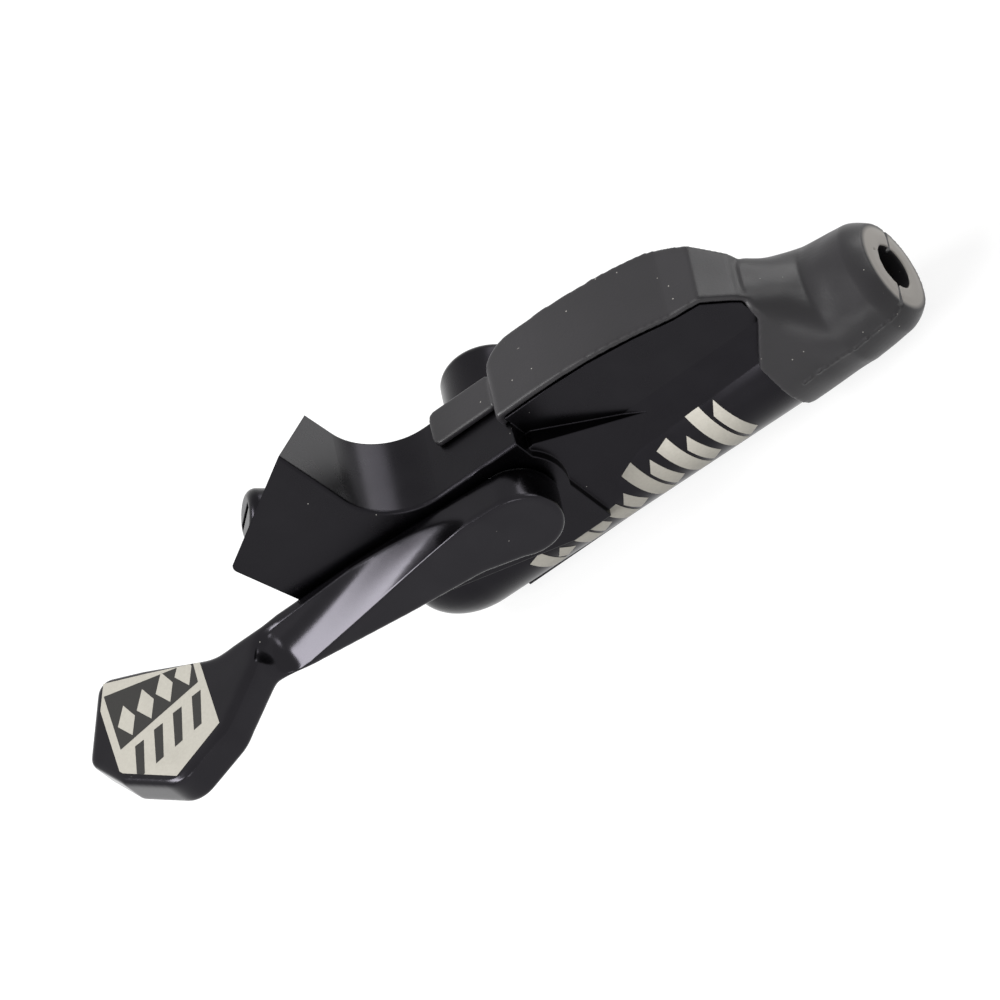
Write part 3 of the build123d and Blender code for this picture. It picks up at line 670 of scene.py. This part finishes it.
def shape_rubber(points, settings):
    """Moves the rubber's points: fair crown, square hose end, soft dents, parting line and slit."""
    x, y, z = points.T
    z = z + np.where(z > CROWN_FOOT, crown_lift(x), 0.0)
    off_y, off_z = y - AXIS_Y, z - AXIS_Z
    reach = np.hypot(off_y, off_z)
    turn = np.arctan2(off_z, off_y)

    rim = (x > RIM_CENTRE_X) & (reach > RIM_CENTRE_R)
    sweep = np.degrees(np.arctan2(x - RIM_CENTRE_X, reach - RIM_CENTRE_R))
    side = np.clip(sweep / RIM_SPLIT, 0, 1)
    face = np.clip((sweep - RIM_SPLIT) / (90.0 - RIM_SPLIT), 0, 1)
    new_x = RIM_CENTRE_X + side * (RIM_EDGE_X - RIM_CENTRE_X) + face * (SPOUT_END - RIM_EDGE_X)
    new_r = (
        RIM_SIDE_R - side ** RIM_FULLNESS * (RIM_SIDE_R - RIM_EDGE_R)
        - face * (RIM_EDGE_R - RIM_CENTRE_R)
    )
    on_skin = rim & (np.hypot(x - RIM_CENTRE_X, reach - RIM_CENTRE_R) > RIM_SKIN)
    x, reach = np.where(on_skin, new_x, x), np.where(on_skin, new_r, reach)

    outer = (x > SPOUT_START) & (reach > SPOUT_SKIN_R)
    calm = (
        np.clip((x - SPOUT_START) / DENT_FADE_IN, 0, 1)
        * np.clip((SPOUT_END - x) / DENT_FADE_OUT, 0, 1)
    )
    dents = (
        ripple(points, DENT_BROAD, DENT_BROAD_SEED)
        + DENT_FINE_SHARE * ripple(points, DENT_FINE, DENT_FINE_SEED)
    )
    reach = reach + np.where(outer, settings.dent * calm * dents, 0.0)

    along = np.column_stack((x, 0 * x, 0 * x))
    wander = WANDER * ripple(along, WANDER_SIZE, WANDER_SEED)
    ragged = np.clip(
        RAGGED_MEAN + RAGGED_SWING * ripple(along, RAGGED_SIZE, RAGGED_SEED), 0.1, 1.0,
    )
    line = np.exp(-((off_z - wander) / LINE_WIDTH) ** 2) * ragged * (y < AXIS_Y)
    lined = outer | (on_skin & (reach > LINE_R))
    reach = reach + np.where(lined, settings.flash * line, 0.0)

    y = np.where(reach > 0.1, AXIS_Y + reach * np.cos(turn), y)
    z = np.where(reach > 0.1, AXIS_Z + reach * np.sin(turn), z)
    cut = (x > SPOUT_END - SLIT_REACH) & (np.abs(z - AXIS_Z) < SLIT_HALF)
    from_mark = np.hypot(y - PIN_MARK[0], z - PIN_MARK[1])
    mark = (x > SPOUT_END - PIN_MARK_REACH) & (from_mark < PIN_MARK_R)
    x = np.minimum(x, SPOUT_END - END_INSET)
    x = x - np.where(cut, settings.slit, 0.0) - np.where(mark, PIN_MARK_DEPTH, 0.0)
    return np.column_stack((x, y, z))


def modified(mesh, kind, **settings):
    """A new mesh that one modifier makes of a mesh."""
    draft = bpy.data.objects.new("draft", mesh)
    bpy.context.scene.collection.objects.link(draft)
    step = draft.modifiers.new("step", kind)
    for name, value in settings.items():
        setattr(step, name, value)
    graph = bpy.context.evaluated_depsgraph_get()
    made = bpy.data.meshes.new_from_object(draft.evaluated_get(graph))
    bpy.data.objects.remove(draft)
    return made


def even_skin(node, grain):
    """A node's outside and inside as one skin of even small faces."""
    return modified(NODES[node].data.copy(), "REMESH", mode="VOXEL", voxel_size=grain * MM)


def softened(mesh, rounds):
    """The same skin with its facets and sharp edges smoothed."""
    return modified(mesh, "SMOOTH", factor=0.5, iterations=rounds)


def places_of(mesh):
    """A mesh's points in millimetres, one row each."""
    places = np.empty(len(mesh.vertices) * 3)
    mesh.vertices.foreach_get("co", places)
    return places.reshape(-1, 3) / MM


def put_places(mesh, places):
    """Moves a mesh's points to places in millimetres."""
    mesh.vertices.foreach_set("co", (places * MM).ravel())
    mesh.update()


def skin_piece(name, mesh, node, body):
    """An object of a finished skin that stands for a node."""
    mesh.name = name
    mesh.polygons.foreach_set("use_smooth", [True] * len(mesh.polygons))
    mesh.materials.clear()
    mesh.materials.append(finish_for(slot_of(node)))
    piece = bpy.data.objects.new(name, mesh)
    bpy.context.scene.collection.objects.link(piece)
    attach(piece, body)
    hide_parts(node)


def rubber_boot(settings):
    """The boot as one even skin over its solid, softened and then shaped."""
    mesh = softened(even_skin("boot_cover", settings.grain), settings.rounds)
    put_places(mesh, shape_rubber(places_of(mesh), settings))
    skin_piece("rubber_boot", mesh, "boot_cover", "housing")


# The blade in millimetres: its flute's radius, end and end round, the neck that gets softer between
# two places along X, and the share of the neck's softening that the paddle keeps
FLUTE_RADIUS = 6.0
FLUTE_END, FLUTE_END_ROUND = -31.2, 2.2
NECK_LEFT, NECK_RIGHT, NECK_FADE = -36.0, -30.0, 2.0
PADDLE_SHARE = 0.3

# Stations of the flute: x, then the centre in Y and Z of its circle; a cubic runs through them
FLUTE_LINE = (
    (-31.5, -25.6, 6.0), (-28.0, -25.5, 6.2), (-21.0, -24.8, 8.1), (-14.0, -23.8, 9.2),
    (-8.0, -22.6, 10.4), (-1.0, -21.9, 10.95),
)


def forged_blade(settings):
    """The blade with tumbled edges and its flute opened to the front as forged."""
    mesh = even_skin("lever_blade", settings.grain)
    x, y, z = places_of(mesh).T
    stations, centres_y, centres_z = np.array(FLUTE_LINE).T
    off_y, off_z = (
        place - np.polyval(np.polyfit(stations, centres, 3), x)
        for place, centres in ((y, centres_y), (z, centres_z))
    )
    near = np.hypot(off_y, off_z)
    depth = np.clip((x - FLUTE_END) / FLUTE_END_ROUND, 0, 1)
    radius = FLUTE_RADIUS - FLUTE_END_ROUND * (1 - np.sqrt(1 - (1 - depth) ** 2))
    radius = np.where((x > FLUTE_END) & (x < stations[-1]), radius, 0.0)
    push = np.where((near < radius) & (near > 0.1), radius / np.maximum(near, 0.1), 1.0)
    put_places(mesh, np.column_stack((x, y + off_y * (push - 1), z + off_z * (push - 1))))
    crisp = softened(mesh.copy(), settings.rounds)
    round_neck = places_of(softened(mesh, settings.neck_rounds))
    places = places_of(crisp)
    to_neck = np.clip((places[:, 0] - NECK_RIGHT) / NECK_FADE, 0, 1)
    to_paddle = np.clip((NECK_LEFT - places[:, 0]) / NECK_FADE, 0, 1) * (1 - PADDLE_SHARE)
    share = (1 - to_neck - to_paddle)[:, None]
    put_places(crisp, places + share * (round_neck - places))
    skin_piece("forged_blade", crisp, "lever_blade", "lever")


# The badge in millimetres: how much its upright lines lean, and the line between its two fields,
# which rises to the right
BADGE_LEAN = -0.09
SPLIT_Y, SPLIT_RISE = -22.4, 2.2


def thumb_badge(settings):
    """Two printed fields across the paddle, with shapes dark on pale and pale on dark."""
    top = PADDLE_TOP + settings.badge_lift
    left, right = settings.badge_left, settings.badge_right

    def at(share, y):
        """A place a share of the way from the badge's left edge to its right one."""
        return (left + share * (right - left) + BADGE_LEAN * (y + 20), y)

    field = [at(0, -31), at(1, -31), at(1, -11), at(0, -11)]
    points, faces, tints = [], [], []

    def add(polygon, tint, height):
        shown = clip_polygon(clip_polygon(polygon, PADDLE), field)
        if len(shown) < 3:
            return
        start = len(points)
        points.extend((x, y, top + height) for x, y in shown)
        faces.append(list(range(start, len(points))))
        tints.append(tint)

    def split(share):
        """The height of the line between the fields."""
        return SPLIT_Y + SPLIT_RISE * share

    add(field, 0, 0.0)
    add([
        at(0.07, split(0.07) + 0.25), at(0.93, split(0.93) + 0.25), at(0.94, -17.0),
        at(0.07, -13.7),
    ], 1, 0.01)
    step = 0.84 / settings.bar_count
    for index in range(settings.bar_count):
        share = 0.11 + index * step
        low, high = split(share) + 1.0, split(share) - 0.55
        kite = 0.5 * step
        add([
            at(share + kite, low), at(share + 2 * kite - 0.03, low + 2.3),
            at(share + kite, low + 4.6), at(share, low + 2.3),
        ], 0, 0.02)
        add([
            at(share + 0.02, high - 4.6), at(share + kite, high - 4.4),
            at(share + 2 * kite - 0.02, high), at(share + kite - 0.01, high - 0.1),
        ], 1, 0.01)
    badge = mesh_piece("thumb_badge", points, faces, [thin_print(), dark_print()], tints, "lever")


# From the barrel's line to its lower outline in the photograph's view, and to the front of that
OUTLINE_WAY = Vector((0.0, -0.675, -0.738))
FRONT_WAY = Vector((0.0, -0.738, 0.675))
SHARD_GRID = (4, 14)


def barrel_print(settings):
    """A band of slanted angular shards wrapped round the barrel's lower front."""
    points, faces = [], []

    def on_barrel(x, angle):
        """A place just proud of the tapered barrel, so many degrees up from its lower outline."""
        share = (x - BARREL_LEFT) / (BARREL_RIGHT - BARREL_LEFT)
        thin, thick = BARREL_RADII
        radius = thin + share * (thick - thin) + settings.print_lift
        turn = math.radians(angle)
        spot = OUTLINE_WAY * math.cos(turn) + FRONT_WAY * math.sin(turn)
        return (x, AXIS_Y + radius * spot.y, AXIS_Z + radius * spot.z)

    def shard(corners):
        """A four sided patch of places along X and angles, fine enough to follow the curve."""
        (ax, aa), (bx, ba), (cx, ca), (dx, da) = corners
        across, up = SHARD_GRID
        base = len(points)
        for row in range(up + 1):
            v = row / up
            for column in range(across + 1):
                u = column / across
                x = (1 - v) * ((1 - u) * ax + u * bx) + v * ((1 - u) * dx + u * cx)
                angle = (1 - v) * ((1 - u) * aa + u * ba) + v * ((1 - u) * da + u * ca)
                points.append(on_barrel(x, angle))
        for row in range(up):
            for column in range(across):
                low = base + row * (across + 1) + column
                faces.append([low, low + 1, low + across + 2, low + across + 1])

    pitch = settings.print_length / settings.shard_count
    for index in range(settings.shard_count):
        x = settings.print_start + index * pitch
        tall = 44 + 42 * index / settings.shard_count + 8 * (index % 2)
        shard([(x + 0.4, 8), (x + 2.2, 12), (x + 1.1, tall + 6), (x - 0.7, tall)])
        shard([(x + 2.6, 16), (x + 4.2, 26), (x + 3.0, tall - 4), (x + 1.9, tall - 18)])
    piece = mesh_piece("barrel_print", points, faces, [pale_print()], None, "housing")


# The camera: sensor width in millimetres, clip distances in metres, and how far the picture's
# centre lies from the pivot, in millimetres to the left and down
SENSOR_WIDTH = 36.0
CLIP_START, CLIP_END = 0.01, 10.0
AIM_LEFT, AIM_DOWN = 1.667, 0.3125


def place_camera(settings):
    """Puts the lens where the photograph was taken from."""
    data = bpy.data.cameras.new("lens")
    data.lens = settings.lens
    data.sensor_width = SENSOR_WIDTH
    camera = bpy.data.objects.new("camera", data)
    bpy.context.scene.collection.objects.link(camera)
    distance = settings.view_width * settings.lens / data.sensor_width
    target = PIVOT - SCREEN_RIGHT * AIM_LEFT * MM - SCREEN_UP * AIM_DOWN * MM
    camera.location = target + TO_LENS * distance
    view = Matrix((SCREEN_RIGHT, SCREEN_UP, TO_LENS)).transposed()
    camera.rotation_mode = "QUATERNION"
    camera.rotation_quaternion = view.to_quaternion()
    data.clip_start, data.clip_end = CLIP_START, CLIP_END
    bpy.context.scene.camera = camera


# Each lamp: the way to it and its long side, both as screen right, screen up and to the lens,
# then its distance, long side and short side in metres, and its power in watts
LAMPS = {
    "strip_left": ((-0.88, -0.20, 0.43), (-0.41, 0.88, -0.62), 0.55, 0.70, 0.13, 6.4),
    "box_top": ((0.26, 0.96, -0.08), (0.40, -0.12, -0.32), 0.50, 0.40, 0.14, 0.9),
    "box_front": ((0.10, -0.69, 0.71), (1.0, 0.0, 0.0), 0.50, 0.12, 0.12, 0.3),
    "box_end": ((0.41, 0.80, 0.45), (0.6, 0.0, -0.6), 0.60, 0.20, 0.20, 0.6),
}


def place_lamps():
    """Softboxes and one strip, aimed at the pivot from round the lens."""
    for name, (way, side, distance, long, short, power) in LAMPS.items():
        data = bpy.data.lights.new(name, "AREA")
        data.shape = "RECTANGLE"
        data.size, data.size_y = long, short
        data.energy = power
        lamp = bpy.data.objects.new(name, data)
        bpy.context.scene.collection.objects.link(lamp)
        direction = (SCREEN_RIGHT * way[0] + SCREEN_UP * way[1] + TO_LENS * way[2]).normalized()
        along = SCREEN_RIGHT * side[0] + SCREEN_UP * side[1] + TO_LENS * side[2]
        across = direction.cross(along).normalized()
        lamp.location = PIVOT + direction * distance
        lamp.rotation_mode = "QUATERNION"
        lamp.rotation_quaternion = Matrix((
            across.cross(direction), across, direction,
        )).transposed().to_quaternion()


def seen_directly(tree):
    """One where a ray comes from the lens, a mirror or a glass, and nought for the light itself."""
    path = add_node(tree, "ShaderNodeLightPath")
    first = add_node(tree, "ShaderNodeMath", {
        0: path.outputs["Is Camera Ray"], 1: path.outputs["Is Glossy Ray"],
    }, operation="MAXIMUM").outputs[0]
    return add_node(tree, "ShaderNodeMath", {
        0: first, 1: path.outputs["Is Transmission Ray"],
    }, operation="MAXIMUM").outputs[0]


# How bright the room is as a light, and how much the floor glows where a ray sees it directly
ROOM_LIGHT = 0.25
FLOOR_GLOW = 0.85
FLOOR_HALF = 1.6


def paint_world():
    """A room that is seen as white and lights less than it shows."""
    world = bpy.data.worlds.new("white_room")
    bpy.context.scene.world = world
    world.use_nodes = True
    tree = world.node_tree
    tree.nodes.clear()
    output = add_node(tree, "ShaderNodeOutputWorld")
    strength = add_node(tree, "ShaderNodeMapRange", {
        "Value": seen_directly(tree), "To Min": ROOM_LIGHT, "To Max": 1.0,
    }).outputs["Result"]
    room = add_node(tree, "ShaderNodeBackground", {
        "Color": linear("#ffffff"), "Strength": strength,
    })
    tree.links.new(room.outputs[0], output.inputs["Surface"])


def lay_floor(settings):
    """A white table just below the part, which keeps its shadow."""
    half, low = FLOOR_HALF, CAD_LOW.z - settings.floor_gap
    mesh = bpy.data.meshes.new("table")
    corners = [(-half, -half, low), (half, -half, low), (half, half, low), (-half, half, low)]
    mesh.from_pydata(corners, [], [(0, 1, 2, 3)])
    floor = bpy.data.objects.new("table", mesh)
    bpy.context.scene.collection.objects.link(floor)
    # Matt emulsion off a roller: plain white with a faint lift, so it joins the room behind it
    material, tree, output, place = start_material("paint_white_rolled")
    paint = add_node(tree, "ShaderNodeBsdfDiffuse", {"Color": tuple(settings.floor_colour)})
    lift = add_node(tree, "ShaderNodeMath", {
        0: seen_directly(tree), 1: FLOOR_GLOW,
    }, operation="MULTIPLY").outputs[0]
    glow = add_node(tree, "ShaderNodeEmission", {"Color": linear("#ffffff"), "Strength": lift})
    both = add_node(tree, "ShaderNodeAddShader", {0: paint.outputs[0], 1: glow.outputs[0]})
    tree.links.new(both.outputs[0], output.inputs["Surface"])
    mesh.materials.append(material)


STEPS = (REMOTE_OT_body, REMOTE_OT_blade, REMOTE_OT_boot, REMOTE_OT_works, REMOTE_OT_stage)
GROUPS = (BladeSettings, BodySettings, BootSettings, StageSettings)
SETTINGS = {
    "remote_blade": BladeSettings, "remote_body": BodySettings, "remote_boot": BootSettings,
    "remote_stage": StageSettings,
}


def register():
    for group in GROUPS:
        bpy.utils.register_class(group)
    for step in STEPS:
        bpy.utils.register_class(step)
    bpy.utils.register_class(REMOTE_PT_sidebar)
    for name, group in SETTINGS.items():
        setattr(bpy.types.Scene, name, PointerProperty(type=group))


def unregister():
    for name in SETTINGS:
        delattr(bpy.types.Scene, name)
    bpy.utils.unregister_class(REMOTE_PT_sidebar)
    for step in reversed(STEPS):
        bpy.utils.unregister_class(step)
    for group in reversed(GROUPS):
        bpy.utils.unregister_class(group)


def main():
    register()
    steps = bpy.ops.remote
    for step in (steps.body, steps.blade, steps.boot, steps.works, steps.stage):
        step()


if __name__ == "__main__":
    main()
